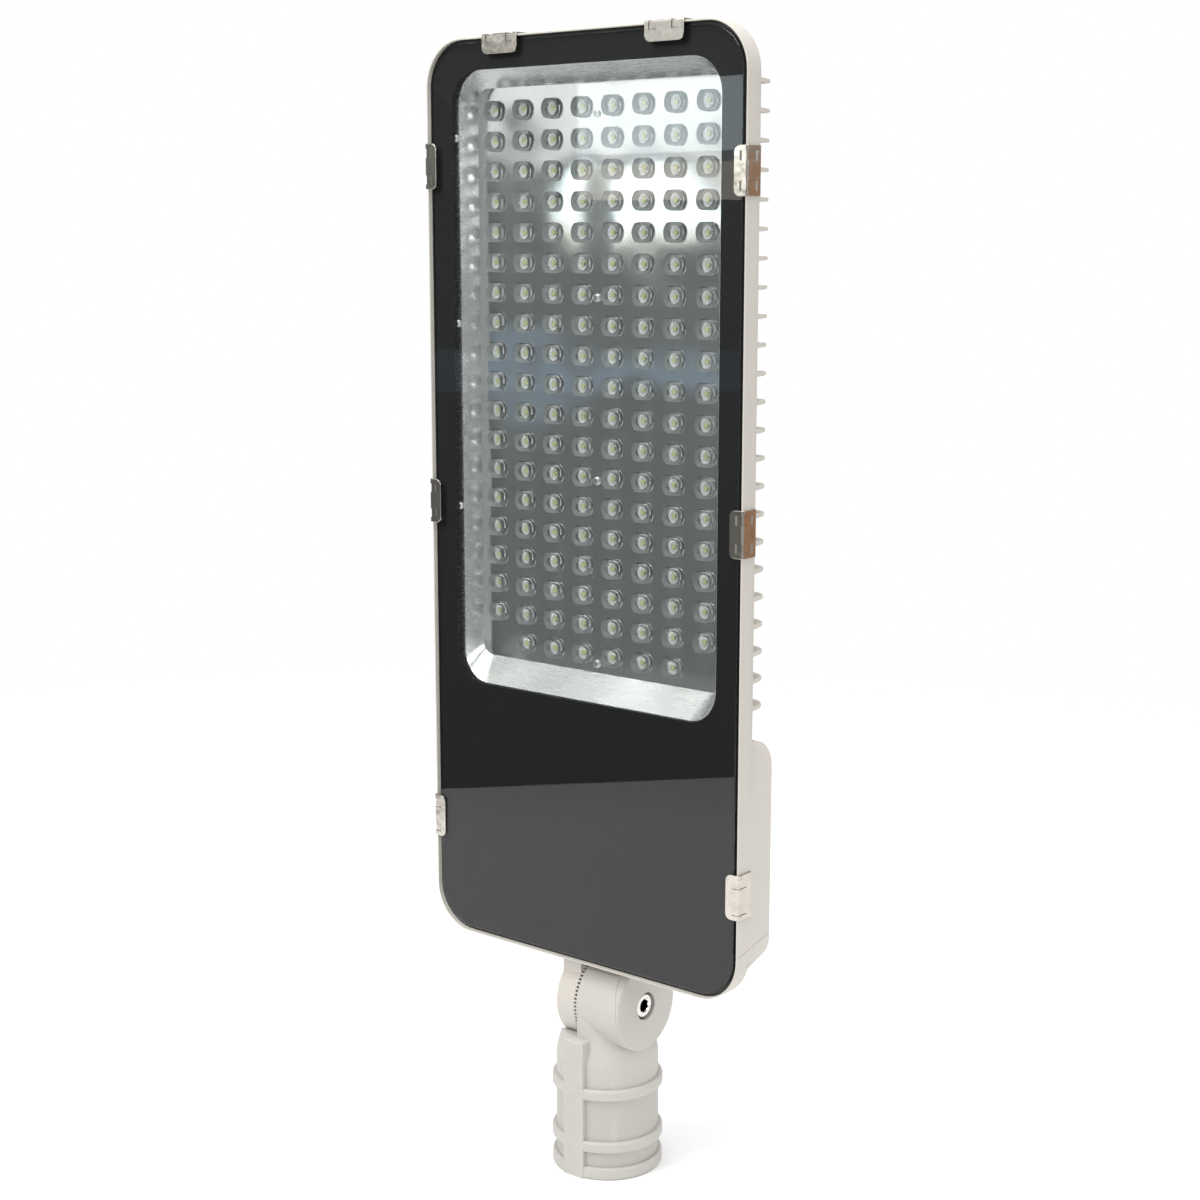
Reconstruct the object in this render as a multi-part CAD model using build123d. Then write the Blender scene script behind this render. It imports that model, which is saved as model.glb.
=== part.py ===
"""LED street-lamp head on a tilting pole spigot.

Frame: the origin is the centre of the pole bore's mouth, +Z runs up the spigot axis into the head,
-Y is the side that the glass faces and +X is to the right of someone who faces the glass.
All sizes are in millimetres.
"""
from build123d import *
import os

# ---------------------------------------------------------------- pole spigot
BORE_RADIUS = 30.5          # takes a 60 mm pole end
BORE_DEPTH = 80.0
TUBE_WALL = 4.0
TUBE_SHOULDER = 80.0        # height at which the tube starts to taper
TUBE_TOP = 94.0             # on the open side of the knuckle
NECK_RADIUS = 30.1          # tube as it runs into the lug
NECK_SHOULDER = 97.0        # height at which the taper ends
NECK_BLEND = 24.0           # rounding where the taper starts and ends
COLLAR_HEIGHT = 8.4
COLLAR_STEP = 2.5           # how far the bottom collar stands out
RING_STEP = 2.9             # how far the two upper rings stand out
RING_SPANS = ((18.9, 26.6), (55.5, 63.4))
PAD_HALF_WIDTH = 8.4
PAD_STEP = 2.6              # how far the flat front pad stands out
PAD_TOP = 95.4
BACK_PAD_STEP = 6.5         # thread length for the pole screws
BACK_PAD_SPAN = (10.0, 74.0)
BACK_PAD_HALF_WIDTH = 10.4
POLE_SCREW_RADIUS = 4.0     # M8
POLE_SCREW_END = 12.0       # screw axis from the back pad's end
POLE_SCREW_RETREAT = 0.8    # point short of the bore
POLE_SCREW_OUT = 5.2        # end stands off the back pad
POLE_SCREW_HEX = 4.0        # across flats of the socket
POLE_SCREW_SOCKET = 4.5     # depth of the socket
POLE_SCREW_POINT = 0.7      # chamfer at both ends
COLLAR_EDGE = 1.6
RING_EDGE = 1.8
PAD_EDGE = 1.2
BACK_PAD_EDGE = 2.5

# ---------------------------------------------------------------- tilt knuckle
PIVOT_RISE = 22.6           # pivot axis above the tube top
LUG_RADIUS = 30.5
LUG_CLEARANCE = 0.6         # air round a lug as the head tilts
HEAD_LUG_LEFT = -19.7
KNUCKLE_PLANE = -3.0        # where the two toothed faces meet
SPIGOT_LUG_RIGHT = 33.0
LUG_EDGE = 1.4              # rounding of a lug's outer edge
CHEEK_RISE = 24.0           # raised front cheek above the pivot
CHEEK_DROP = 12.0           # and below it
CHEEK_SLANT = 7.0           # its right edge comes in this far at the top
FACE_GAP = 0.2              # between the tips of the two rings of teeth
TOOTH_COUNT = 72
TOOTH_HEIGHT = 1.2
TOOTH_SLOT = 1.3
TOOTH_INNER_RADIUS = 20.0
BOLT_RADIUS = 5.0
BOLT_HEAD_RADIUS = 8.0
BOLT_HEAD_HEIGHT = 10.0
BOLT_HEX = 8.0              # across flats of the socket
BOLT_RECESS = 1.4           # head below the lug's face
COUNTERBORE_RADIUS = 9.4
WASHER_THICKNESS = 1.8
NUT_ACROSS_FLATS = 17.0
NUT_HEIGHT = 8.0
RUNNING_FIT = 0.06          # radial, on the bolt
SEAL_RADIUS = 14.5
SEAL_WIRE = 1.3

# ---------------------------------------------------------------- lamp head
HEAD_WIDTH = 255.6
HEAD_LENGTH = 596.6
HEAD_CORNER = 30.0
HEAD_FRONT = -30.3          # front edge of the rim
RIM_DEPTH = 12.9            # front to back of the outer side wall
RIM_LIP = 1.0
RIM_EDGE = 0.5
GLASS_SET_BACK = 0.3
GLASS_THICKNESS = 4.0
GASKET_EDGE = 2.4           # gap round the glass edge, with rubber at its bottom
GASKET_DROP = 2.8           # rubber round the edge below the glass front
GASKET_SEAT = 1.5           # rubber behind the glass
PRINT_THICKNESS = 0.15
SHELF_WIDTH = 9.4
LEDGE_Y = -21.6             # face that the reflector flange sits on
WINDOW_HALF_WIDTH = 107.5
WINDOW_TOP_BORDER = 20.1
BAY_LENGTH = 176.4          # head bottom to the lower edge of the clear window
WINDOW_CORNER = 22.0
FIN_COUNT = 23
FIN_THICKNESS = 3.2         # at the root
FIN_TIP = 1.3
FIN_BACK = 4.3
FIN_CORNER = 18.0
FIN_INSET = 0.2             # fin ends inside the head's sides
FIN_TOP_MARGIN = 35.3
FIN_BOTTOM_MARGIN = 12.5    # last fin above the window's lower edge
TRAY_WALL = 5.0
TRAY_BACK = -1.9
BOX_DEPTH_BELOW_RIM = 23.3  # box starts this far above the head bottom
BOX_SLOPE = 7.5             # its floor rises this much towards the back
BOX_TOP_GAP = 8.1           # box top below the window's lower edge
BOX_TOP_RADIUS = 20.0
BOX_BOTTOM_RADIUS = 9.0
BOX_WALL = 3.2
PARTING_FRONT = 32.4        # parting line on the sides: height above the head bottom at the front
PARTING_BACK = 40.9         # and at the back
PARTING_WIDTH = 0.45
PARTING_DEPTH = 0.3
NECK_FRONT = -22.6
NECK_BACK = 17.0

# ---------------------------------------------------------------- glass clips
CLIP_LENGTH = 29.2
CLIP_SHEET = 1.2
SIDE_CLIP_REACH = 8.8       # over the glass, from the head's side
TOP_CLIP_REACH = 11.2       # and from its top
CLIP_GAP = 0.05
CLIP_CORNER = 4.0
CLIP_EDGE = 0.4
CLIP_BEND = 1.5
CLIP_HOOK = 0.9
CLIP_POCKET_SPARE = 0.15
CLIP_BEAD_SPACING = 17.0    # two pressed beads stiffen the bend
CLIP_BEAD_WIDTH = 5.8
CLIP_BEAD_DEPTH = 0.6
CLIP_BEAD_REACH = 5.9       # over the glass
CLIP_BEAD_DROP = 10.2       # down the side
RIGHT_CLIPS = (86.9, 299.2, 71.9)    # as fitted: two below the head top, one above its bottom
LEFT_CLIPS = (79.5, 299.2, 78.3)
TOP_CLIPS = (-63.1, 67.4)

# ---------------------------------------------------------------- optics
PLATE_SIDE_GAP = 27.8       # reflector plate inside the head's side
PLATE_TOP_GAP = 10.4        # below the window top
PLATE_BOTTOM_GAP = 16.5     # above the window bottom
PLATE_CORNER = 9.0
PLATE_FRONT = -9.2
SHEET = 0.6                 # reflector metal
PLATE_TUCK = 2.4            # plate edge behind the sloped walls
SIDE_SPREAD = 4.5           # how far each sloped wall opens towards the glass
TOP_SPREAD = 10.9
BOTTOM_SPREAD = 16.5
WALL_CORNER = 20.0          # corner of the walls' front opening
WALL_CLEARANCE = 1.5        # housing round the sloped walls
FLANGE_WIDTH = 9.5          # beside the opening
FLANGE_ENDS = 5.2           # above and below it
FLANGE_SCREW_INSET = 3.9    # flange screws outside the sloped walls
FLANGE_SCREW_SHARES = (0.084, 0.403, 0.727)   # down the reflector plate's height
PLATE_SCREW_ROWS = (0.23, 6.1, 12.1, 18.3)    # in LED rows from the first
BOARD_THICKNESS = 1.6
PAD_THICKNESS = 0.4
LED_COLUMNS = 8
LED_ROWS = 19
LED_SIDE_MARGIN = 14.25
LED_TOP_MARGIN = 14.2
LED_BOTTOM_MARGIN = 11.6
LENS_LENGTH = 15.0
LENS_WIDTH = 12.0
LENS_CORNER = 4.6
LENS_HEIGHT = 6.0
LENS_DOME_RADIUS = 9.4
LENS_FLANGE = 0.9
HOLE_SPARE = 0.3
PACKAGE_SIZE = (2.8, 3.5)   # across and up
PACKAGE_HEIGHT = 0.6
PHOSPHOR_RADIUS = 1.0
PHOSPHOR_HEIGHT = 0.3
LENS_HOLLOW_RADIUS = 3.4    # hollow under each lens
LENS_HOLLOW_SPARE = 0.4     # above the LED
SCREW_RADIUS = 1.5
SCREW_HEAD_RADIUS = 2.6
SCREW_HEAD_HEIGHT = 1.5
SCREW_LENGTH = 3.4

# ---------------------------------------------------------------- driver bay
DRIVER_SIZE = (150.0, 20.0, 84.0)
DRIVER_LEFT = -96.0
DRIVER_DROP = 16.0          # below the box top
DRIVER_CAP = 6.0
STRAP_WIDTH = 14.0
STRAP_SHEET = 1.2
STRAP_FOOT = 9.0
BLOCK_SIZE = (26.0, 15.0, 34.0)
SURGE_SIZE = (28.0, 14.0, 40.0)
BAY_GAP = 10.0              # between pieces in the driver bay
WIRE_RADIUS = 0.9
WIRE_BEND = 6.0
GLAND_RADIUS = 6.0
GLAND_HEX = 15.0
GLAND_X = 92.0
VENT_RADIUS = 6.0
GROMMET_X = -25.0
GROMMET_Y = 9.0
GROMMET_BORE = 3.2
GROMMET_RADIUS = 4.6

# ---------------------------------------------------------------- derived places
TUBE_RADIUS = BORE_RADIUS + TUBE_WALL
PIVOT_Z = TUBE_TOP + PIVOT_RISE
HEAD_HALF = HEAD_WIDTH / 2
HEAD_BOTTOM = PIVOT_Z + LUG_RADIUS + LUG_CLEARANCE
HEAD_TOP = HEAD_BOTTOM + HEAD_LENGTH
RIM_BACK = HEAD_FRONT + RIM_DEPTH
GLASS_FRONT = HEAD_FRONT + GLASS_SET_BACK
GLASS_BACK = GLASS_FRONT + GLASS_THICKNESS
PRINT_BACK = GLASS_BACK + PRINT_THICKNESS
SHELF_Y = PRINT_BACK + GASKET_SEAT
GLASS_INSET = RIM_LIP + GASKET_EDGE
CHAMBER_INSET = RIM_LIP + SHELF_WIDTH
WINDOW_TOP = HEAD_TOP - WINDOW_TOP_BORDER
WINDOW_BOTTOM = HEAD_BOTTOM + BAY_LENGTH
PLATE_HALF = HEAD_HALF - PLATE_SIDE_GAP
PLATE_TOP = WINDOW_TOP - PLATE_TOP_GAP
PLATE_BOTTOM = WINDOW_BOTTOM + PLATE_BOTTOM_GAP
PLATE_BACK = PLATE_FRONT + SHEET
BOARD_FRONT = PLATE_BACK + LENS_FLANGE
BOARD_BACK = BOARD_FRONT + BOARD_THICKNESS
TRAY_FLOOR = BOARD_BACK + PAD_THICKNESS
FLANGE_FRONT = LEDGE_Y - SHEET
BOX_BOTTOM = HEAD_BOTTOM + BOX_DEPTH_BELOW_RIM
BOX_TOP = WINDOW_BOTTOM - BOX_TOP_GAP
BAY_FLOOR = FIN_BACK - BOX_WALL
BAY_BOTTOM = BOX_BOTTOM + BOX_SLOPE + BOX_WALL + 2.0
BAY_TOP = BOX_TOP - 0.7 * BOX_TOP_RADIUS
BAY_HALF = HEAD_HALF - BOX_WALL
LED_PITCH_X = 2 * (PLATE_HALF - LED_SIDE_MARGIN) / (LED_COLUMNS - 1)
LED_FIRST_Z = PLATE_TOP - LED_TOP_MARGIN
LED_PITCH_Z = (LED_FIRST_Z - PLATE_BOTTOM - LED_BOTTOM_MARGIN) / (LED_ROWS - 1)
LUG_FACE_HEAD = KNUCKLE_PLANE - FACE_GAP / 2 - TOOTH_HEIGHT
LUG_FACE_SPIGOT = KNUCKLE_PLANE + FACE_GAP / 2 + TOOTH_HEIGHT
BOLT_HEAD_TOP = SPIGOT_LUG_RIGHT - BOLT_RECESS
BOLT_HEAD_SEAT = BOLT_HEAD_TOP - BOLT_HEAD_HEIGHT
COUNTERBORE_FLOOR = BOLT_HEAD_SEAT - WASHER_THICKNESS
DRIVER_TOP = BAY_TOP - DRIVER_DROP
DRIVER_BOTTOM = DRIVER_TOP - DRIVER_SIZE[2]
DRIVER_RIGHT = DRIVER_LEFT + DRIVER_SIZE[0]
DRIVER_FRONT = BAY_FLOOR - DRIVER_SIZE[1]
BEYOND = 200.0              # a cut that runs clear of the part

LOW = Align.MIN
MID = Align.CENTER


def block(x0, x1, y0, y1, z0, z1):
    """Box between two corners."""
    return Pos(x0, y0, z0) * Box(x1 - x0, y1 - y0, z1 - z0, align=(LOW, LOW, LOW))


def slab(half_width, z0, z1, y0, y1, corner):
    """Upright plate with rounded corners, X +-half_width, facing along Y."""
    face = Plane(origin=(0, y1, (z0 + z1) / 2), x_dir=(1, 0, 0), z_dir=(0, -1, 0))
    return extrude(face * RectangleRounded(2 * half_width, z1 - z0, corner), y1 - y0)


def head_slab(inset, y0, y1):
    """The head's outline, brought in by inset, between two depths."""
    corner = HEAD_CORNER - inset
    return slab(HEAD_HALF - inset, HEAD_BOTTOM + inset, HEAD_TOP - inset, y0, y1, corner)


def plate_slab(grow, y0, y1):
    """The reflector plate's outline, grown all round, between two depths."""
    corner = PLATE_CORNER + grow
    return slab(PLATE_HALF + grow, PLATE_BOTTOM - grow, PLATE_TOP + grow, y0, y1, corner)


def frame_slab(side, top, bottom, corner, y0, y1):
    """Plate that reaches past the reflector plate by side, top and bottom."""
    return slab(PLATE_HALF + side, PLATE_BOTTOM - bottom, PLATE_TOP + top, y0, y1, corner)


def tray_slab(grow, y0, y1):
    """Room round the sloped walls, grown all round."""
    spare = WALL_CLEARANCE + grow
    return frame_slab(
        SIDE_SPREAD + spare, TOP_SPREAD + spare, BOTTOM_SPREAD + spare, WALL_CORNER + spare, y0, y1
    )


def rod_x(radius, x0, x1, y=0.0, z=PIVOT_Z):
    """Cylinder along X."""
    return Pos(x0, y, z) * Rot(0, 90, 0) * Cylinder(radius, x1 - x0, align=(MID, MID, LOW))


def rod_y(radius, y0, y1, x=0.0, z=0.0):
    """Cylinder along Y."""
    return Pos(x, y0, z) * Rot(-90, 0, 0) * Cylinder(radius, y1 - y0, align=(MID, MID, LOW))


def rod_z(radius, z0, z1, x=0.0, y=0.0):
    """Cylinder along Z."""
    return Pos(x, y, z0) * Cylinder(radius, z1 - z0, align=(MID, MID, LOW))


def hex_prism(across_flats, height):
    """Hexagonal bar that stands on its base, along its own Z."""
    return extrude(RegularPolygon(across_flats / 2, 6, major_radius=False), height)


def side_profile(points, x0, x1):
    """Solid of an outline in the YZ plane between two X."""
    outline = make_face(Polyline(*[(0, y, z) for y, z in points], close=True))
    return Pos(x0, 0, 0) * extrude(outline, x1 - x0, dir=(1, 0, 0))


def tooth_ring(x0):
    """Ring of flat-topped radial teeth on a knuckle face, TOOTH_HEIGHT thick along X."""
    ring = Circle(LUG_RADIUS) - Circle(TOOTH_INNER_RADIUS)
    middle = (LUG_RADIUS + TOOTH_INNER_RADIUS) / 2
    slots = [
        Rot(0, 0, 360 / TOOTH_COUNT * i) * Pos(middle, 0) * Rectangle(2 * TOOTH_INNER_RADIUS, TOOTH_SLOT)
        for i in range(TOOTH_COUNT)
    ]
    ring = ring - (Sketch() + slots)
    ring = ring + (Circle(TOOTH_INNER_RADIUS + 0.5) - Circle(TOOTH_INNER_RADIUS - 1.5))
    face = Plane(origin=(x0, 0, PIVOT_Z), x_dir=(0, 1, 0), z_dir=(1, 0, 0))
    return extrude(face * ring, TOOTH_HEIGHT)


# ---------------------------------------------------------------- spigot side
def make_spigot():
    tube = rod_z(TUBE_RADIUS, 0, TUBE_SHOULDER)
    taper = Pos(0, 0, TUBE_SHOULDER) * Cone(
        TUBE_RADIUS, NECK_RADIUS, NECK_SHOULDER - TUBE_SHOULDER, align=(MID, MID, LOW)
    )
    neck = rod_z(NECK_RADIUS, NECK_SHOULDER, PIVOT_Z)
    collar = fillet(rod_z(TUBE_RADIUS + COLLAR_STEP, 0, COLLAR_HEIGHT).edges(), COLLAR_EDGE)
    stem = tube + taper + neck
    rings = stem.edges().filter_by(GeomType.CIRCLE)
    bends = [e for e in rings if TUBE_SHOULDER - 1 < e.center().Z < NECK_SHOULDER + 1]
    body = fillet(bends, NECK_BLEND) + collar
    for low, high in RING_SPANS:
        body += fillet(rod_z(TUBE_RADIUS + RING_STEP, low, high).edges(), RING_EDGE)
    pad = block(-PAD_HALF_WIDTH, PAD_HALF_WIDTH, -TUBE_RADIUS - PAD_STEP, 0, 0, PAD_TOP)
    body += fillet(pad.edges().filter_by(Axis.Z) + pad.faces().sort_by(Axis.Z)[-1].edges(), PAD_EDGE)
    low, high = BACK_PAD_SPAN
    back_pad = block(
        -BACK_PAD_HALF_WIDTH, BACK_PAD_HALF_WIDTH, 0, TUBE_RADIUS + BACK_PAD_STEP, low, high
    )
    body += fillet(back_pad.faces().sort_by(Axis.Y)[-1].edges(), BACK_PAD_EDGE)

    # the lug: a thick disc on the pivot axis, with the tube's neck running up into it
    disc = rod_x(LUG_RADIUS, LUG_FACE_SPIGOT, SPIGOT_LUG_RIGHT)
    disc = fillet(disc.edges().filter_by(GeomType.CIRCLE).sort_by(Axis.X)[-1], LUG_EDGE)
    sweep = rod_x(LUG_RADIUS + LUG_CLEARANCE, -BEYOND, LUG_FACE_SPIGOT)
    sweep += block(-BEYOND, LUG_FACE_SPIGOT, -BEYOND, BEYOND, PAD_TOP, BEYOND)
    body = body - sweep + disc

    # raised front cheek, its right edge drawn in towards the top
    cheek = rod_x(LUG_RADIUS + LUG_CLEARANCE * 0.6, LUG_FACE_SPIGOT, SPIGOT_LUG_RIGHT)
    cheek_top = PIVOT_Z + CHEEK_RISE
    cheek_low = PIVOT_Z - CHEEK_DROP
    edge = [
        (LUG_FACE_SPIGOT, cheek_low),
        (SPIGOT_LUG_RIGHT - 0.8, cheek_low),
        (SPIGOT_LUG_RIGHT - 1.8, PIVOT_Z + 6.0),
        (SPIGOT_LUG_RIGHT - CHEEK_SLANT, cheek_top),
        (LUG_FACE_SPIGOT, cheek_top),
    ]
    outline = make_face(Polyline(*[(x, 0, z) for x, z in edge], close=True))
    window = extrude(outline, BEYOND, dir=(0, -1, 0))
    body += cheek & window

    body += tooth_ring(KNUCKLE_PLANE + FACE_GAP / 2)
    body -= rod_z(BORE_RADIUS, -1, BORE_DEPTH)
    body -= rod_x(BOLT_RADIUS + RUNNING_FIT, -BEYOND, BEYOND)
    body -= rod_x(COUNTERBORE_RADIUS, COUNTERBORE_FLOOR, BEYOND)
    seal_cut = Pos(LUG_FACE_SPIGOT, 0, PIVOT_Z) * Rot(0, 90, 0) * Torus(SEAL_RADIUS, SEAL_WIRE)
    body -= seal_cut
    for z in pole_screw_heights():
        body -= rod_y(POLE_SCREW_RADIUS + RUNNING_FIT, 0, BEYOND, 0, z)
    body -= rod_z(GROMMET_RADIUS, BORE_DEPTH - 1, BEYOND, GROMMET_X, GROMMET_Y)
    return body


def pole_screw_heights():
    """The two pole screws sit inside the ends of the back pad."""
    low, high = BACK_PAD_SPAN
    return (low + POLE_SCREW_END, high - POLE_SCREW_END)


def make_pole_screw(z):
    """Socket set screw, drawn back so that its point is clear of the bore."""
    point = BORE_RADIUS + POLE_SCREW_RETREAT
    end = TUBE_RADIUS + BACK_PAD_STEP + POLE_SCREW_OUT
    screw = rod_y(POLE_SCREW_RADIUS, point, end, 0, z)
    screw = chamfer(screw.edges().filter_by(GeomType.CIRCLE), POLE_SCREW_POINT)
    socket = Pos(0, end - POLE_SCREW_SOCKET, z) * Rot(-90, 0, 0) * hex_prism(POLE_SCREW_HEX, BEYOND)
    return screw - socket


def make_bolt():
    """Socket-head cap screw along the pivot axis."""
    shank = rod_x(BOLT_RADIUS, HEAD_LUG_LEFT + 0.4, BOLT_HEAD_SEAT + 0.5)
    head = rod_x(BOLT_HEAD_RADIUS, BOLT_HEAD_SEAT, BOLT_HEAD_TOP)
    head = fillet(head.edges().filter_by(GeomType.CIRCLE).sort_by(Axis.X)[-1], 0.9)
    socket = Pos(BOLT_HEAD_TOP - 5.0, 0, PIVOT_Z) * Rot(0, 90, 0) * hex_prism(BOLT_HEX, 6.0)
    lead_in = Pos(BOLT_HEAD_TOP - 0.6, 0, PIVOT_Z) * Rot(0, 90, 0) * Cone(
        BOLT_HEX / 2, BOLT_HEX / 2 + 0.9, 0.7, align=(MID, MID, LOW)
    )
    return shank + head - socket - lead_in


def make_washer():
    ring = rod_x(COUNTERBORE_RADIUS - 0.5, COUNTERBORE_FLOOR, BOLT_HEAD_SEAT)
    return ring - rod_x(BOLT_RADIUS + RUNNING_FIT, COUNTERBORE_FLOOR - 1, BOLT_HEAD_SEAT + 1)


def make_knuckle_seal():
    """Rubber ring seated in the spigot lug's groove, just short of the head's lug."""
    ring = Pos(LUG_FACE_SPIGOT, 0, PIVOT_Z) * Rot(0, 90, 0) * Torus(SEAL_RADIUS, SEAL_WIRE - 0.02)
    return ring


def make_cable_grommet():
    top = TUBE_TOP - 1.0
    plug = rod_z(GROMMET_RADIUS, BORE_DEPTH, top, GROMMET_X, GROMMET_Y)
    return plug - rod_z(GROMMET_BORE, BORE_DEPTH - 1, top + 1, GROMMET_X, GROMMET_Y)


# ---------------------------------------------------------------- head casting
def make_fin():
    """One cooling fin, thinner towards the back, with rounded back corners and soft edges."""
    half = HEAD_HALF - FIN_INSET
    front = RIM_BACK - 2
    plan = [(-half, front), (half, front), (half, FIN_BACK), (-half, FIN_BACK)]
    face = make_face(Polyline(*plan, close=True))
    face = fillet(face.vertices().sort_by(Axis.Y)[2:], FIN_CORNER)
    root, tip = FIN_THICKNESS / 2, FIN_TIP / 2
    wedge = side_profile([(front, -root), (FIN_BACK, -tip), (FIN_BACK, tip), (front, root)], -half, half)
    fin = extrude(face, FIN_THICKNESS, both=True) & wedge
    skin = [e for e in fin.edges().filter_by(Axis.Z, reverse=True) if e.center().Y > FIN_BACK - FIN_CORNER]
    return fillet(skin, FIN_TIP * 0.35)


def fin_heights():
    first = HEAD_TOP - FIN_TOP_MARGIN
    last = WINDOW_BOTTOM + FIN_BOTTOM_MARGIN
    pitch = (first - last) / (FIN_COUNT - 1)
    return [first - pitch * i for i in range(FIN_COUNT)]


def make_driver_box():
    """Full-width box at the lower back, its floor sloping and its back edges rounded."""
    profile = [
        (RIM_BACK - 1, BOX_BOTTOM),
        (FIN_BACK, BOX_BOTTOM + BOX_SLOPE),
        (FIN_BACK, BOX_TOP),
        (RIM_BACK - 1, BOX_TOP),
    ]
    box = side_profile(profile, -HEAD_HALF, HEAD_HALF)
    back = box.edges().filter_by(Axis.X).filter_by(lambda e: e.center().Y > FIN_BACK - 0.1)
    box = fillet(back.sort_by(Axis.Z)[-1], BOX_TOP_RADIUS)
    back = box.edges().filter_by(Axis.X).filter_by(lambda e: e.center().Y > FIN_BACK - 0.1)
    return fillet(back.sort_by(Axis.Z)[0], BOX_BOTTOM_RADIUS)


def make_neck():
    """Neck and head lug, and the root block that ties them to the head."""
    root_low = HEAD_BOTTOM + 1.0
    lug = rod_x(LUG_RADIUS, HEAD_LUG_LEFT, LUG_FACE_HEAD)
    lug = fillet(lug.edges().filter_by(GeomType.CIRCLE).sort_by(Axis.X)[0], LUG_EDGE)
    neck_outline = [
        (NECK_FRONT, PIVOT_Z),
        (NECK_FRONT, HEAD_BOTTOM + 4.0),
        (RIM_BACK - 1.0, HEAD_BOTTOM + 4.0),
        (RIM_BACK - 1.0, BOX_BOTTOM + 4.0),
        (FIN_BACK - 4.0, BOX_BOTTOM + BOX_SLOPE + 4.0),
        (NECK_BACK, PIVOT_Z + 8.0),
        (NECK_BACK, PIVOT_Z),
    ]
    neck = side_profile(neck_outline, HEAD_LUG_LEFT, LUG_FACE_HEAD)
    root_outline = [
        (RIM_BACK - 1.0, root_low),
        (RIM_BACK - 1.0, BOX_BOTTOM + 4.0),
        (FIN_BACK - 4.0, BOX_BOTTOM + BOX_SLOPE + 4.0),
        (FIN_BACK - 9.0, root_low),
    ]
    root = side_profile(root_outline, HEAD_LUG_LEFT - 12.0, SPIGOT_LUG_RIGHT + 3.0)
    teeth = tooth_ring(LUG_FACE_HEAD)
    return lug + neck + root + teeth


def side_clip_heights(fitted):
    """Heights of the three clips on one side."""
    high, middle, low = fitted
    return (HEAD_TOP - high, HEAD_TOP - middle, HEAD_BOTTOM + low)


def clip_places():
    """Name, placing and reach of each clip: along the edge, turned so that its leg is outside."""
    places = {}
    for i, z in enumerate(side_clip_heights(RIGHT_CLIPS), 1):
        places[f"glass_clip_right_{i}"] = (Pos(HEAD_HALF, 0, z), SIDE_CLIP_REACH)
    for i, z in enumerate(side_clip_heights(LEFT_CLIPS), 1):
        places[f"glass_clip_left_{i}"] = (Pos(-HEAD_HALF, 0, z) * Rot(0, 180, 0), SIDE_CLIP_REACH)
    for name, x in zip(("left", "right"), TOP_CLIPS):
        places[f"glass_clip_top_{name}"] = (Pos(x, 0, HEAD_TOP) * Rot(0, -90, 0), TOP_CLIP_REACH)
    return places


def make_clip(reach):
    """Spring clip over the rim's front edge, at X 0 = the head's outer face, along Z."""
    y_front = HEAD_FRONT - CLIP_GAP - CLIP_SHEET
    y_in = HEAD_FRONT - CLIP_GAP
    x_out = CLIP_GAP + CLIP_SHEET
    y_tail = RIM_BACK - 1.0
    outline = [
        (-reach, y_front),
        (x_out, y_front),
        (x_out, y_tail),
        (-CLIP_HOOK, y_tail),
        (-CLIP_HOOK, y_tail - CLIP_SHEET),
        (CLIP_GAP, y_tail - CLIP_SHEET),
        (CLIP_GAP, y_in),
        (-reach, y_in),
    ]
    face = make_face(Polyline(*outline, close=True))
    clip = extrude(face, CLIP_LENGTH / 2, both=True)
    bend = clip.edges().filter_by(Axis.Z).filter_by(
        lambda e: abs(e.center().X - x_out) < 0.01
    )
    clip = fillet(bend.sort_by(Axis.Y)[0], CLIP_BEND)
    corners = clip.edges().filter_by(Axis.Y).filter_by(lambda e: e.center().X < 0.01 - reach)
    clip = fillet(corners, CLIP_CORNER)
    rim = clip.faces().sort_by(Axis.Y)[0].edges().sort_by(Axis.X)[:-1]
    clip = fillet(rim, CLIP_EDGE)
    bead = make_clip_bead(x_out, y_front)
    return clip - [Pos(0, 0, side * CLIP_BEAD_SPACING / 2) * bead for side in (-1, 1)]


def make_clip_bead(x_out, y_front):
    """Room that one pressed bead takes out of a clip, across its bend."""
    x_floor = x_out - CLIP_BEAD_DEPTH
    y_floor = y_front + CLIP_BEAD_DEPTH
    outline = [
        (x_out - CLIP_BEAD_REACH, y_front - 1),
        (x_out - CLIP_BEAD_REACH, y_front),
        (x_out - CLIP_BEAD_REACH + 2 * CLIP_BEAD_DEPTH, y_floor),
        (x_floor, y_floor),
        (x_floor, y_front + CLIP_BEAD_DROP - 2 * CLIP_BEAD_DEPTH),
        (x_out, y_front + CLIP_BEAD_DROP),
        (x_out + 1, y_front + CLIP_BEAD_DROP),
        (x_out + 1, y_front - 1),
    ]
    bead = extrude(make_face(Polyline(*outline, close=True)), CLIP_BEAD_WIDTH / 2, both=True)
    inner = bead.edges().filter_by(Axis.Z).filter_by(
        lambda e: abs(e.center().X - x_floor) + abs(e.center().Y - y_floor) < 0.01
    )
    return fillet(inner, CLIP_BEND - CLIP_BEAD_DEPTH)


def make_clip_pocket():
    """Room in the side wall for a clip's hook."""
    spare = CLIP_POCKET_SPARE
    y_tail = RIM_BACK - 1.0
    half = CLIP_LENGTH / 2 + spare
    return block(-CLIP_HOOK - spare, 1, y_tail - CLIP_SHEET - spare, y_tail + spare, -half, half)


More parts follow.
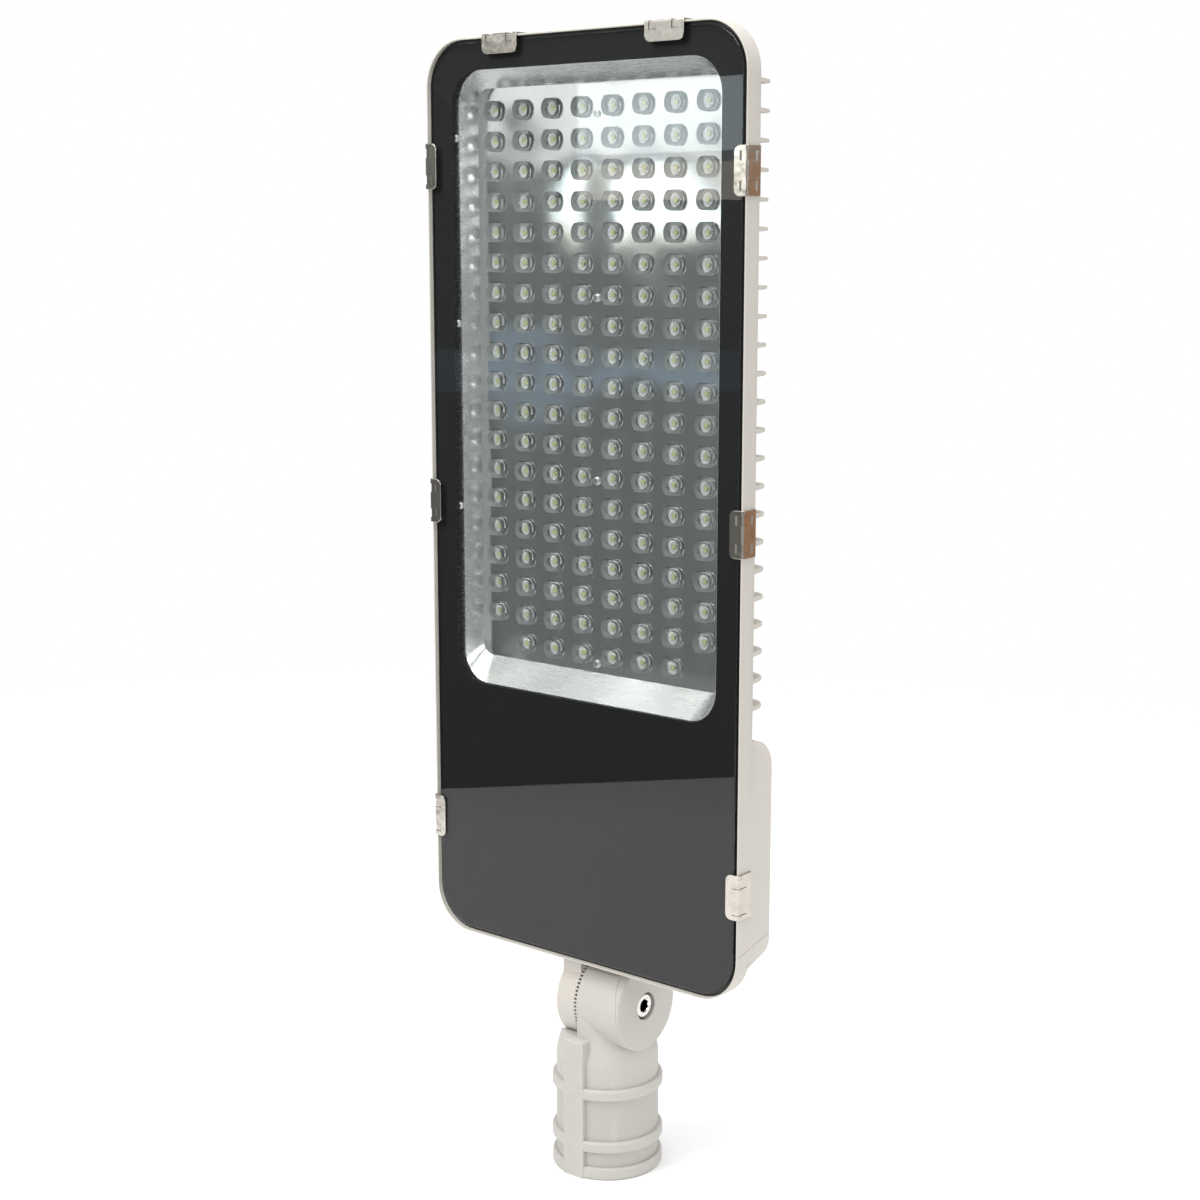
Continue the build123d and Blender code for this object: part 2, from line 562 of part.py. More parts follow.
def make_housing():
    body = head_slab(0, HEAD_FRONT, RIM_BACK)
    body = fillet(body.faces().sort_by(Axis.Y)[0].edges(), RIM_EDGE)
    body += tray_slab(TRAY_WALL, RIM_BACK - 1, TRAY_BACK)
    body += make_driver_box()
    fin = make_fin()
    body += [Pos(0, 0, z) * fin for z in fin_heights()]
    body += make_neck()

    body -= head_slab(RIM_LIP, HEAD_FRONT - 1, SHELF_Y)
    body -= head_slab(CHAMBER_INSET, SHELF_Y - 1, LEDGE_Y)
    body -= tray_slab(0, LEDGE_Y - 1, TRAY_FLOOR)
    body -= slab(BAY_HALF, BAY_BOTTOM, BAY_TOP, RIM_BACK + 2, BAY_FLOOR, 8.0)
    body -= slab(HEAD_HALF - CHAMBER_INSET, BAY_BOTTOM, BAY_TOP, LEDGE_Y - 1, BAY_FLOOR, 8.0)
    body -= block(*lead_slot())
    groove = make_parting_line()
    body -= [groove, mirror(groove, about=Plane.YZ)]
    for place, _ in clip_places().values():
        body -= place * make_clip_pocket()
    for x, z in flange_screw_places():
        body -= rod_y(SCREW_RADIUS, LEDGE_Y - 1, LEDGE_Y + SCREW_LENGTH, x, z)
    for x, z in plate_screw_places():
        body -= rod_y(SCREW_RADIUS, TRAY_FLOOR - 1, TRAY_FLOOR + 2.4, x, z)
    for x, z in strap_screw_places():
        body -= rod_y(SCREW_RADIUS, BAY_FLOOR - 1, BAY_FLOOR + 2.4, x, z)
    body -= rod_x(BOLT_RADIUS + RUNNING_FIT + 0.2, -BEYOND, 0)
    nut = Rot(0, 90, 0) * hex_prism(NUT_ACROSS_FLATS + 0.3, NUT_HEIGHT + BEYOND)
    body -= Pos(HEAD_LUG_LEFT + NUT_HEIGHT + 0.4 - (NUT_HEIGHT + BEYOND), 0, PIVOT_Z) * nut
    body -= rod_z(GLAND_RADIUS, HEAD_BOTTOM + 6, BAY_BOTTOM + 1, GLAND_X, gland_y())
    body -= rod_z(VENT_RADIUS, HEAD_BOTTOM + 6, BAY_BOTTOM + 1, -GLAND_X, gland_y())
    return body


def make_nut():
    nut = Pos(HEAD_LUG_LEFT + 0.4, 0, PIVOT_Z) * Rot(0, 90, 0) * hex_prism(NUT_ACROSS_FLATS, NUT_HEIGHT)
    return nut - rod_x(BOLT_RADIUS + RUNNING_FIT, HEAD_LUG_LEFT, 0)


# ---------------------------------------------------------------- glass
def make_glass():
    pane = head_slab(GLASS_INSET, GLASS_FRONT, GLASS_BACK)
    return chamfer(pane.faces().sort_by(Axis.Y)[0].edges(), 0.5)


def make_print():
    """Opaque border printed on the back of the glass, with the clear window left open."""
    border = head_slab(GLASS_INSET + 0.4, GLASS_BACK, PRINT_BACK)
    window = slab(
        WINDOW_HALF_WIDTH, WINDOW_BOTTOM, WINDOW_TOP, GLASS_BACK - 1, PRINT_BACK + 1, WINDOW_CORNER
    )
    return border - window


def make_gasket():
    """Rubber channel: an edge strip round the glass and a seat behind it."""
    ring = head_slab(RIM_LIP, GLASS_FRONT + GASKET_DROP, SHELF_Y)
    ring -= head_slab(GLASS_INSET, GLASS_FRONT - 1, PRINT_BACK)
    return ring - head_slab(CHAMBER_INSET - 0.5, PRINT_BACK - 1, SHELF_Y + 1)


# ---------------------------------------------------------------- reflector and light board
def led_places():
    """Centres of the LEDs: full rows, and a last row without its outer two."""
    places = []
    for row in range(LED_ROWS):
        last = row == LED_ROWS - 1
        for column in range(LED_COLUMNS):
            if last and column in (0, LED_COLUMNS - 1):
                continue
            x = (column - (LED_COLUMNS - 1) / 2) * LED_PITCH_X
            places.append((x, LED_FIRST_Z - row * LED_PITCH_Z))
    return places


def flange_screw_places():
    x = PLATE_HALF + SIDE_SPREAD + FLANGE_SCREW_INSET
    height = PLATE_TOP - PLATE_BOTTOM
    return [(side * x, PLATE_TOP - share * height) for side in (-1, 1) for share in FLANGE_SCREW_SHARES]


def plate_screw_places():
    """On the centre line, between LED rows."""
    return [(0.0, LED_FIRST_Z - row * LED_PITCH_Z) for row in PLATE_SCREW_ROWS]


def upright_plane(x, y, z):
    """Sketch plane that faces -Y at a point."""
    return Plane(origin=(x, y, z), x_dir=(1, 0, 0), z_dir=(0, -1, 0))


def make_reflector_frame():
    """Flange and sloped walls of the polished frame."""
    outer = reflector_cone(SHEET)
    inner = reflector_cone(0.0)
    flange = frame_slab(
        SIDE_SPREAD + FLANGE_WIDTH, TOP_SPREAD + FLANGE_ENDS, BOTTOM_SPREAD + FLANGE_ENDS,
        WALL_CORNER + FLANGE_ENDS, FLANGE_FRONT, LEDGE_Y,
    )
    frame = flange + outer - inner
    for x, z in flange_screw_places():
        frame -= rod_y(SCREW_RADIUS, FLANGE_FRONT - 1, LEDGE_Y + 1, x, z)
    return frame


def reflector_cone(grow):
    """Room inside the sloped walls, grown by the metal's thickness."""
    reach = 1.0 if grow == 0.0 else 0.0
    back = PLATE_FRONT - 0.05
    sections = []
    for y in (FLANGE_FRONT - reach, back + reach):
        share = (back - y) / (back - FLANGE_FRONT)
        low = PLATE_BOTTOM - grow - share * BOTTOM_SPREAD
        high = PLATE_TOP + grow + share * TOP_SPREAD
        width = 2 * (PLATE_HALF + grow + share * SIDE_SPREAD)
        corner = PLATE_CORNER + grow + share * (WALL_CORNER - PLATE_CORNER)
        outline = RectangleRounded(width, high - low, corner)
        sections.append(upright_plane(0, y, (low + high) / 2) * outline)
    return loft(sections, ruled=True)


def make_reflector_plate():
    """Perforated plate, one oblong hole for each lens."""
    half = PLATE_HALF + PLATE_TUCK
    middle = (PLATE_TOP + PLATE_BOTTOM) / 2
    height = PLATE_TOP - PLATE_BOTTOM + 2 * PLATE_TUCK
    sheet = RectangleRounded(2 * half, height, PLATE_CORNER)
    hole = RectangleRounded(LENS_LENGTH + 2 * HOLE_SPARE, LENS_WIDTH + 2 * HOLE_SPARE, LENS_CORNER)
    holes = [Pos(x, z - middle) * hole for x, z in led_places()]
    holes += [Pos(x, z - middle) * Circle(SCREW_RADIUS) for x, z in plate_screw_places()]
    return extrude(upright_plane(0, PLATE_BACK, middle) * (sheet - holes), SHEET)


def make_board():
    board = plate_slab(-2.0, BOARD_FRONT, BOARD_BACK)
    for x, z in plate_screw_places():
        board -= rod_y(SCREW_RADIUS, BOARD_FRONT - 1, BOARD_BACK + 1, x, z)
    return board


def make_thermal_pad():
    pad = plate_slab(-4.0, BOARD_BACK, TRAY_FLOOR)
    for x, z in plate_screw_places():
        pad -= rod_y(SCREW_RADIUS, BOARD_BACK - 1, TRAY_FLOOR + 1, x, z)
    return pad


def make_lens_array():
    """One moulded sheet of oblong domes that poke through the reflector plate."""
    reach = LENS_HEIGHT + LENS_FLANGE + SHEET
    top = BOARD_FRONT - reach
    pillow = RectangleRounded(LENS_LENGTH, LENS_WIDTH, LENS_CORNER)
    dome = extrude(upright_plane(0, BOARD_FRONT - 0.3, 0) * pillow, reach - 0.3)
    dome &= Pos(0, top + LENS_DOME_RADIUS, 0) * Sphere(LENS_DOME_RADIUS)
    deep = BOARD_FRONT - PACKAGE_HEIGHT - PHOSPHOR_HEIGHT - LENS_HOLLOW_SPARE
    hollow = rod_y(LENS_HOLLOW_RADIUS, deep, BOARD_FRONT + 1)
    sheet = plate_slab(-3.0, BOARD_FRONT - LENS_FLANGE, BOARD_FRONT)
    sheet += [Pos(x, 0, z) * dome for x, z in led_places()]
    for x, z in plate_screw_places():
        sheet -= rod_y(SCREW_RADIUS, PLATE_BACK - 1, BOARD_FRONT + 1, x, z)
    return sheet - [Pos(x, 0, z) * hollow for x, z in led_places()]


def make_chips():
    """LED packages on the board, each an oblong base with a round phosphor dot."""
    across, up = PACKAGE_SIZE
    face = BOARD_FRONT - PACKAGE_HEIGHT
    chip = block(-across / 2, across / 2, face, BOARD_FRONT, -up / 2, up / 2)
    chip += rod_y(PHOSPHOR_RADIUS, face - PHOSPHOR_HEIGHT, face)
    return Compound(children=[Pos(x, 0, z) * chip for x, z in led_places()])


def make_screw(x, z, seat, depth):
    """Cross-head pan screw that faces -Y, seated at a given depth."""
    head = rod_y(SCREW_HEAD_RADIUS, seat - SCREW_HEAD_HEIGHT, seat, x, z)
    head = fillet(head.edges().filter_by(GeomType.CIRCLE).sort_by(Axis.Y)[0], 0.9)
    cross = block(-0.35, 0.35, 0, 1, -1.5, 1.5) + block(-1.5, 1.5, 0, 1, -0.35, 0.35)
    head -= Pos(x, seat - SCREW_HEAD_HEIGHT - 0.2, z) * cross
    return head + rod_y(SCREW_RADIUS - 0.02, seat - 0.2, seat + depth, x, z)


# ---------------------------------------------------------------- driver bay
def lead_slot():
    """Notch that the board's leads take through the wall between the bay and the tray."""
    x = DRIVER_RIGHT + BAY_GAP
    return (x - 3.5, x + 6.5, LEDGE_Y - 1, TRAY_FLOOR, BAY_TOP - 1, PLATE_BOTTOM)


def gland_y():
    """Middle of the space behind the rim."""
    return (RIM_BACK + FIN_BACK) / 2


def make_driver_case():
    case = block(DRIVER_LEFT + DRIVER_CAP, DRIVER_RIGHT - DRIVER_CAP, DRIVER_FRONT, BAY_FLOOR,
                 DRIVER_BOTTOM, DRIVER_TOP)
    return fillet(case.edges().filter_by(Axis.X), 2.0)


def make_driver_cap(x0):
    """Plastic end cap of the driver."""
    cap = block(x0, x0 + DRIVER_CAP, DRIVER_FRONT - 0.4, BAY_FLOOR, DRIVER_BOTTOM - 0.4, DRIVER_TOP + 0.4)
    return fillet(cap.edges().filter_by(Axis.X), 2.0)


def strap_screw_places():
    x = (DRIVER_LEFT + DRIVER_RIGHT) / 2
    reach = STRAP_SHEET + STRAP_FOOT / 2 + 0.2
    return [(x, DRIVER_BOTTOM - reach), (x, DRIVER_TOP + reach)]


def make_strap():
    """Hold-down strap over the driver, with a foot at each end."""
    x = (DRIVER_LEFT + DRIVER_RIGHT) / 2
    low, high = DRIVER_BOTTOM - 0.2, DRIVER_TOP + 0.2
    front = DRIVER_FRONT - 0.1
    t = STRAP_SHEET
    outer = block(x - STRAP_WIDTH / 2, x + STRAP_WIDTH / 2, front - t, BAY_FLOOR, low - t, high + t)
    outer -= block(-BEYOND, BEYOND, front, BEYOND, low, high)
    for (_, z), edge in zip(strap_screw_places(), (low - t, high + t)):
        foot = block(x - STRAP_WIDTH / 2, x + STRAP_WIDTH / 2, BAY_FLOOR - t, BAY_FLOOR,
                     min(edge, 2 * z - edge), max(edge, 2 * z - edge))
        outer += foot
        outer -= rod_y(SCREW_RADIUS, BAY_FLOOR - t - 1, BAY_FLOOR + 1, x, z)
    return outer


def block_corner():
    """Lower left corner of the terminal block."""
    return (DRIVER_RIGHT + BAY_GAP + 12.0, DRIVER_BOTTOM + 2.0)


def make_terminal_block():
    x, z = block_corner()
    width, depth, height = BLOCK_SIZE
    body = block(x, x + width, BAY_FLOOR - depth, BAY_FLOOR, z, z + height)
    body = chamfer(body.faces().sort_by(Axis.Y)[0].edges().filter_by(Axis.Z), 2.0)
    for i in range(3):
        body -= rod_y(1.8, BAY_FLOOR - depth - 1, BAY_FLOOR - depth + 4, x + width / 2, terminal_height(i))
    return body


def terminal_height(i):
    """Height of a terminal's entry on the block."""
    return block_corner()[1] + BLOCK_SIZE[2] * (i + 0.5) / 3


def make_surge_module():
    x, z = block_corner()
    low = z + BLOCK_SIZE[2] + 6.0
    width, depth, height = SURGE_SIZE
    body = block(x, x + width, BAY_FLOOR - depth, BAY_FLOOR, low, low + height)
    return fillet(body.faces().sort_by(Axis.Y)[0].edges(), 2.0)


def wire(points, bends):
    """Round lead along straight runs joined by arcs."""
    path = FilletPolyline(*points, radius=bends)
    start = Plane(origin=path @ 0, z_dir=path % 0)
    return sweep(start * Circle(WIRE_RADIUS), path)


def make_board_lead(i):
    """Lead from the driver's right cap through the slot to the board's lower edge."""
    x = DRIVER_RIGHT + BAY_GAP + 3.0 * i
    z = DRIVER_TOP - 18.0 - 4.0 * i
    y_low = (DRIVER_FRONT + BAY_FLOOR) / 2
    y_board = (BOARD_FRONT + BOARD_BACK) / 2
    points = [
        (DRIVER_RIGHT, y_low, z),
        (x, y_low, z),
        (x, y_low, BAY_TOP + 1.0),
        (x, y_board, PLATE_BOTTOM - 10.0),
        (x, y_board, PLATE_BOTTOM + 2.0),
    ]
    return wire(points, [WIRE_BEND, WIRE_BEND, WIRE_BEND])


def make_mains_lead(i):
    """Lead from the driver's right cap to a terminal."""
    z = terminal_height(2 - i)
    x = block_corner()[0]
    y_low = (DRIVER_FRONT + BAY_FLOOR) / 2
    return rod_x(WIRE_RADIUS, DRIVER_RIGHT, x, y_low, z)


def make_gland_body():
    """Threaded part of the cable gland: hexagon below the box floor, nut inside."""
    y = gland_y()
    seat = gland_seat()
    stem = rod_z(GLAND_RADIUS - 0.02, seat, BAY_BOTTOM + 6.0, GLAND_X, y)
    hexagon = Pos(GLAND_X, y, seat - 5.0) * hex_prism(GLAND_HEX, 5.0)
    nut = Pos(GLAND_X, y, BAY_BOTTOM) * hex_prism(GLAND_HEX, 3.5)
    bore = rod_z(GLAND_RADIUS - 1.8, seat - 10, BAY_BOTTOM + 10, GLAND_X, y)
    return stem + hexagon + nut - bore


def gland_seat():
    """Flat under the sloped floor where a gland or plug sits."""
    return BOX_BOTTOM + 1.0


def make_gland_cap():
    """Domed clamping nut of the gland, open for the cable."""
    y = gland_y()
    high = gland_seat() - 5.0
    cap = rod_z(GLAND_HEX / 2 - 0.3, high - 9.0, high, GLAND_X, y)
    cap = fillet(cap.edges().filter_by(GeomType.CIRCLE).sort_by(Axis.Z)[0], 2.5)
    return cap - rod_z(GLAND_RADIUS - 2.2, high - 20, high + 1, GLAND_X, y)


def make_vent_plug():
    """Breather that lets the sealed head equalise its pressure."""
    y = gland_y()
    seat = gland_seat()
    plug = rod_z(VENT_RADIUS - 0.02, seat, BAY_BOTTOM + 2.0, -GLAND_X, y)
    head = rod_z(VENT_RADIUS + 2.5, seat - 4.0, seat, -GLAND_X, y)
    head = fillet(head.edges().filter_by(GeomType.CIRCLE).sort_by(Axis.Z)[0], 1.2)
    return plug + head


def make_parting_line():
    """Shallow groove across one side of the casting, at +X."""
    front, back = HEAD_BOTTOM + PARTING_FRONT, HEAD_BOTTOM + PARTING_BACK
    outline = [
        (HEAD_FRONT + 1.0, front),
        (FIN_BACK + 1.0, back),
        (FIN_BACK + 1.0, back + PARTING_WIDTH),
        (HEAD_FRONT + 1.0, front + PARTING_WIDTH),
    ]
    return side_profile(outline, HEAD_HALF - PARTING_DEPTH, HEAD_HALF + 1)


def make_seats(body):
    """Flats under the sloped floor for the gland and the vent."""
    y = gland_y()
    for x, radius in ((GLAND_X, GLAND_HEX * 0.62), (-GLAND_X, VENT_RADIUS + 3.5)):
        body -= rod_z(radius, HEAD_BOTTOM + 6.0, gland_seat(), x, y) & block(
            -BEYOND, BEYOND, RIM_BACK + 0.01, BEYOND, 0, BEYOND * 2
        )
    return body


def build():
    parts = {
        "spigot": make_spigot(),
        "pivot_bolt": make_bolt(),
        "pivot_washer": make_washer(),
        "knuckle_seal": make_knuckle_seal(),
        "cable_grommet": make_cable_grommet(),
        "housing": make_seats(make_housing()),
        "pivot_nut": make_nut(),
        "glass_pane": make_glass(),
        "glass_print": make_print(),
        "glass_gasket": make_gasket(),
        "reflector_frame": make_reflector_frame(),
        "reflector_plate": make_reflector_plate(),
        "led_board": make_board(),
        "thermal_pad": make_thermal_pad(),
        "lens_array": make_lens_array(),
        "led_chips": make_chips(),
        "driver_case": make_driver_case(),
        "driver_cap_left": make_driver_cap(DRIVER_LEFT),
        "driver_cap_right": make_driver_cap(DRIVER_RIGHT - DRIVER_CAP),
        "driver_strap": make_strap(),
        "terminal_block": make_terminal_block(),
        "surge_module": make_surge_module(),
        "gland_body": make_gland_body(),
        "gland_cap": make_gland_cap(),
        "vent_plug": make_vent_plug(),
    }
    for name, z in zip(("lower", "upper"), pole_screw_heights()):
        parts[f"pole_screw_{name}"] = make_pole_screw(z)
    for name, (place, reach) in clip_places().items():
        parts[name] = place * make_clip(reach)
    for i, (x, z) in enumerate(flange_screw_places(), 1):
        parts[f"flange_screw_{i}"] = make_screw(x, z, FLANGE_FRONT, SCREW_LENGTH)
    for i, (x, z) in enumerate(plate_screw_places(), 1):
        parts[f"plate_screw_{i}"] = make_screw(x, z, PLATE_FRONT, TRAY_FLOOR - PLATE_FRONT + 2.0)
    for i, (x, z) in enumerate(strap_screw_places(), 1):
        parts[f"strap_screw_{i}"] = make_screw(x, z, BAY_FLOOR - STRAP_SHEET, STRAP_SHEET + 2.0)
    for i in range(2):
        parts[f"board_lead_{i + 1}"] = make_board_lead(i)
        parts[f"mains_lead_{i + 1}"] = make_mains_lead(i)
    return parts


os.makedirs("parts", exist_ok=True)
for node, shape in build().items():
    export_step(shape, f"parts/{node}.step")
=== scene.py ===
"""Finishes, stage and camera for an LED street-lamp head on its tilting pole spigot."""
import math

import bpy
from bpy.props import FloatProperty, FloatVectorProperty, PointerProperty
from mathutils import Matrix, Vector


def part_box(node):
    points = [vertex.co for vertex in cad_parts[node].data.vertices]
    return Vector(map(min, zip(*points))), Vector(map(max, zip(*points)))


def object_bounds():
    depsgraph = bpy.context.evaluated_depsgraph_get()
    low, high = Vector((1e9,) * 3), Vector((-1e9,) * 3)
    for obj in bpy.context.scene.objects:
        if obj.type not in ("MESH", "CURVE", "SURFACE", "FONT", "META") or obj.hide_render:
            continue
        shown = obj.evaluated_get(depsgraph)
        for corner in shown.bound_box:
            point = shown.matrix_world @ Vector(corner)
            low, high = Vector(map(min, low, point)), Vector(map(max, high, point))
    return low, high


bl_info = {
    "name": "Street lamp finishes",
    "version": (1, 0, 0),
    "blender": (4, 5, 0),
    "location": "View3D > Sidebar > Lamp",
    "description": "Builds the finishes, stage and camera of an LED street-lamp head",
    "category": "Object",
}

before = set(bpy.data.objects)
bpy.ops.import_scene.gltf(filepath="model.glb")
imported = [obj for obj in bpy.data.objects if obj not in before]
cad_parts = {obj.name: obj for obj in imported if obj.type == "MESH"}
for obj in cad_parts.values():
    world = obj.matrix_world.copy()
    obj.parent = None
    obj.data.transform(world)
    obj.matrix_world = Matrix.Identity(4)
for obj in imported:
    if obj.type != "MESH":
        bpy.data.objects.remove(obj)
CAD_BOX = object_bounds()
MM = 0.001

DOT_STEP = 0.15 * MM         # depth behind the chips' front that still counts as the phosphor dot
SOCKET_RIM = 0.9 * MM        # depth of bright rim before the bolt is painted dark with shade, in its socket and beyond
PLATE_BOW = (0.575, 0.73, 0.007)  # the plate leans back between two heights, by so much in all

FLOOR_RADIUS = 3.0
FLOOR_SIDES = 96
FLOOR_FADE = (0.85, 1.7)     # distances over which the floor melts into the backdrop
CLIP_START = 0.01
SENSOR_WIDTH = 36            # millimetres, as a camera states it

# Soft lights: name, place, target (the lamp's middle where it is None), side length, power
LIGHTS = (
    ("overhead", (0, -0.2, 2.6), (0, -0.2, 0), 2.8, 78),
    ("key", (-0.9, -2.3, 2.0), None, 1.3, 34),
    ("side", (2.6, -0.5, 1.5), None, 1.2, 22),
)

DIM_WALL = (0.96, 1.0, 0.97)
# Upright cards for mirrors to show. Each has a name, its two ends in plan, the heights of its
# bottom edge at those ends, the heights of its top edge, its colour and its strength.
MIRROR_CARDS = (
    ("dark_wall", (-0.95, -0.42), (-0.40, -1.03), (0, 0), (0.655, 0.66), DIM_WALL, 0.17),
    ("dark_header", (-2.2, -1.5), (-0.2, -1.5), (0.838, 0.838), (0.93, 0.93), DIM_WALL, 0.17),
    ("dark_return", (-2.2, -1.45), (-1.08, -1.35), (0.5, 0.5), (0.88, 0.88), DIM_WALL, 0.17),
    ("upper_window", (-1.065, -1.3), (-0.55, -1.3), (0.732, 0.732), (0.829, 0.829),
     (0.84, 0.97, 1.0), 3.3),
    ("window_bar", (-1.065, -1.3), (-0.55, -1.3), (0.718, 0.718), (0.732, 0.732),
     (0.9, 0.95, 1.0), 0.9),
    ("lower_window", (-1.065, -1.3), (-0.55, -1.3), (0.655, 0.655), (0.718, 0.718),
     (1.0, 0.93, 0.82), 2.2),
    ("blue_pane", (-0.80, -0.57), (-0.39, -1.02), (0.452, 0.448), (0.50, 0.492),
     (0.66, 0.82, 1.0), 0.42),
    ("high_window", (-2.8, -1.75), (-0.4, -1.75), (0.95, 0.95), (2.2, 2.2),
     (1.0, 0.99, 0.97), 1.3),
    ("warm_wall", (0.95, 1.75), (1.95, 1.15), (0, 0), (0.75, 0.75), (0.62, 0.36, 0.22), 0.75),
)


def colour(name, text, value):
    """Colour setting of a finish."""
    return FloatVectorProperty(
        name=name, description=text, default=value, subtype="COLOR", size=3, min=0, max=1
    )


def length(name, text, value):
    """Length setting in metres."""
    return FloatProperty(name=name, description=text, default=value, unit="LENGTH", subtype="DISTANCE", min=0)


def share(name, text, value):
    """Setting between 0 and 1."""
    return FloatProperty(name=name, description=text, default=value, subtype="FACTOR", min=0, max=1)


class LampFinishSettings(bpy.types.PropertyGroup):
    """Colours and grain of the lamp's own surfaces."""

    coat: colour("Head coat", "Powder coat of the head casting", (0.575, 0.543, 0.492))
    spigot_coat: colour("Spigot coat", "Powder coat of the pole spigot", (0.520, 0.505, 0.468))
    coat_grain: length("Coat grain", "Size of the orange peel in the powder coat", 0.9 * MM)
    coat_roughness: share("Coat roughness", "How matt the powder coat is", 0.5)
    mirror: colour("Reflector walls", "Bright sheet of the reflector walls", (0.86, 0.86, 0.855))
    plate: colour("Reflector plate", "Sheet round the lenses", (0.70, 0.70, 0.705))
    clip: colour("Clip steel", "Bright spring steel of the glass clips", (0.56, 0.53, 0.48))
    phosphor: colour("Phosphor", "Dot in the middle of an LED", (0.42, 0.43, 0.17))
    ceramic: colour("LED base", "Square base round the phosphor dot", (0.38, 0.38, 0.355))
    print_tone: colour("Printed border", "Fired print behind the glass", (0.009, 0.009, 0.009))


class LampStageSettings(bpy.types.PropertyGroup):
    """Camera, lights and floor."""

    eye: FloatVectorProperty(
        name="Camera place", description="Where the camera stands", size=3, subtype="TRANSLATION",
        unit="LENGTH", default=(0.8142, -1.0014, 0.6210),
    )
    target: FloatVectorProperty(
        name="Camera target", description="The point in the middle of the view", size=3,
        subtype="TRANSLATION", unit="LENGTH", default=(0.0033, -0.0121, 0.3892),
    )
    lens: FloatProperty(name="Lens", description="Focal length", default=60.47, min=1)
    floor: colour("Floor", "Plain pale floor", (0.92, 0.92, 0.92))
    sky: FloatProperty(
        name="Sky", description="Strength of the soft light from all round", default=0.45, min=0
    )


class Signal:
    """A number socket that takes part in Python sums, each sum adding its Math node."""

    def __init__(self, finish, socket):
        self.finish = finish
        self.socket = socket

    def math(self, operation, first, second=None):
        inputs = {0: first}
        if second is not None:
            inputs[1] = second
        node = self.finish.add("ShaderNodeMath", {"operation": operation}, inputs)
        return Signal(self.finish, node.outputs[0])

    def __add__(self, other):
        return self.math("ADD", self, other)

    __radd__ = __add__

    def __sub__(self, other):
        return self.math("SUBTRACT", self, other)

    def __rsub__(self, other):
        return self.math("SUBTRACT", other, self)

    def __mul__(self, other):
        return self.math("MULTIPLY", self, other)

    __rmul__ = __mul__

    def __truediv__(self, other):
        return self.math("DIVIDE", self, other)

    def __rtruediv__(self, other):
        return self.math("DIVIDE", other, self)

    def __lt__(self, other):
        return self.math("LESS_THAN", self, other)

    def __gt__(self, other):
        return self.math("GREATER_THAN", self, other)

    def power(self, other):
        return self.math("POWER", self, other)

    def span(self, low, high):
        """0 below low, 1 above high, and straight between them."""
        node = self.finish.add(
            "ShaderNodeMapRange", {"clamp": True}, {0: self, 1: low, 2: high, 3: 0.0, 4: 1.0}
        )
        return Signal(self.finish, node.outputs[0])


class Finish:
    """One material and its nodes."""

    def __init__(self, name):
        self.material = bpy.data.materials.new(name)
        self.material.use_nodes = True
        self.tree = self.material.node_tree
        self.tree.nodes.clear()
        self.output = self.add("ShaderNodeOutputMaterial")

    def add(self, kind, settings=None, inputs=None):
        """Adds a node: its settings first, then the values or links of its sockets."""
        node = self.tree.nodes.new(kind)
        for key, value in (settings or {}).items():
            setattr(node, key, value)
        for key, value in (inputs or {}).items():
            if hasattr(value, "socket"):
                self.tree.links.new(value.socket, node.inputs[key])
            else:
                node.inputs[key].default_value = value
        return node

    def place(self):
        """The piece's own coordinates in metres, as a vector."""
        return Signal(self, self.add("ShaderNodeTexCoord").outputs["Object"])

    def axes(self):
        """The three coordinates as numbers."""
        node = self.add("ShaderNodeSeparateXYZ", None, {0: self.place()})
        return [Signal(self, output) for output in node.outputs]

    def noise(self, grain, detail=2.0, roughness=0.5, stretch=(1, 1, 1)):
        """Random field about one grain across, finer along the axes that stretch names."""
        scaled = self.add(
            "ShaderNodeVectorMath", {"operation": "MULTIPLY"}, {0: self.place(), 1: tuple(stretch)}
        )
        node = self.add(
            "ShaderNodeTexNoise",
            {"noise_dimensions": "3D"},
            {"Vector": Signal(self, scaled.outputs[0]), "Scale": 1 / grain, "Detail": detail,
             "Roughness": roughness},
        )
        return Signal(self, node.outputs["Fac"])

    def pits(self, spacing, size):
        """Small round specks, 1 in a speck and 0 between them."""
        node = self.add(
            "ShaderNodeTexVoronoi", {"feature": "F1"}, {"Vector": self.place(), "Scale": 1 / spacing}
        )
        return 1 - Signal(self, node.outputs["Distance"]).span(size * 0.6, size)

    def edges(self):
        """0.5 on flat stretches, more on sharp edges and less in corners."""
        return Signal(self, self.add("ShaderNodeNewGeometry").outputs["Pointiness"])

    def blend(self, amount, first, second):
        """Colour between two colours."""
        node = self.add(
            "ShaderNodeMix", {"data_type": "RGBA", "blend_type": "MIX"},
            {0: amount, 6: opaque(first), 7: opaque(second)},
        )
        return Signal(self, node.outputs[2])

    def bump(self, height, depth, strength=1.0, under=None):
        """Normal of a height field whose full swing is depth metres."""
        inputs = {"Height": height, "Distance": depth, "Strength": strength}
        if under is not None:
            inputs["Normal"] = under
        return Signal(self, self.add("ShaderNodeBump", None, inputs).outputs[0])

    def body(self, **inputs):
        """Principled surface; the keywords are its sockets with underscores for spaces."""
        named = {key.replace("_", " "): value for key, value in inputs.items()}
        for key in ("Base Color", "Emission Color", "Coat Tint", "Specular Tint"):
            if key in named and not hasattr(named[key], "socket"):
                named[key] = opaque(named[key])
        node = self.add("ShaderNodeBsdfPrincipled", None, named)
        return Signal(self, node.outputs[0])

    def done(self, surface):
        """Links the surface to the output and returns the material."""
        self.tree.links.new(surface.socket, self.output.inputs["Surface"])
        return self.material


def opaque(tone):
    """Colour with full alpha, or the link as it is."""
    return tone if hasattr(tone, "socket") else (*tone, 1)


def shade(tone, factor):
    """A colour made darker or lighter."""
    return tuple(min(1, part * factor) for part in tone)


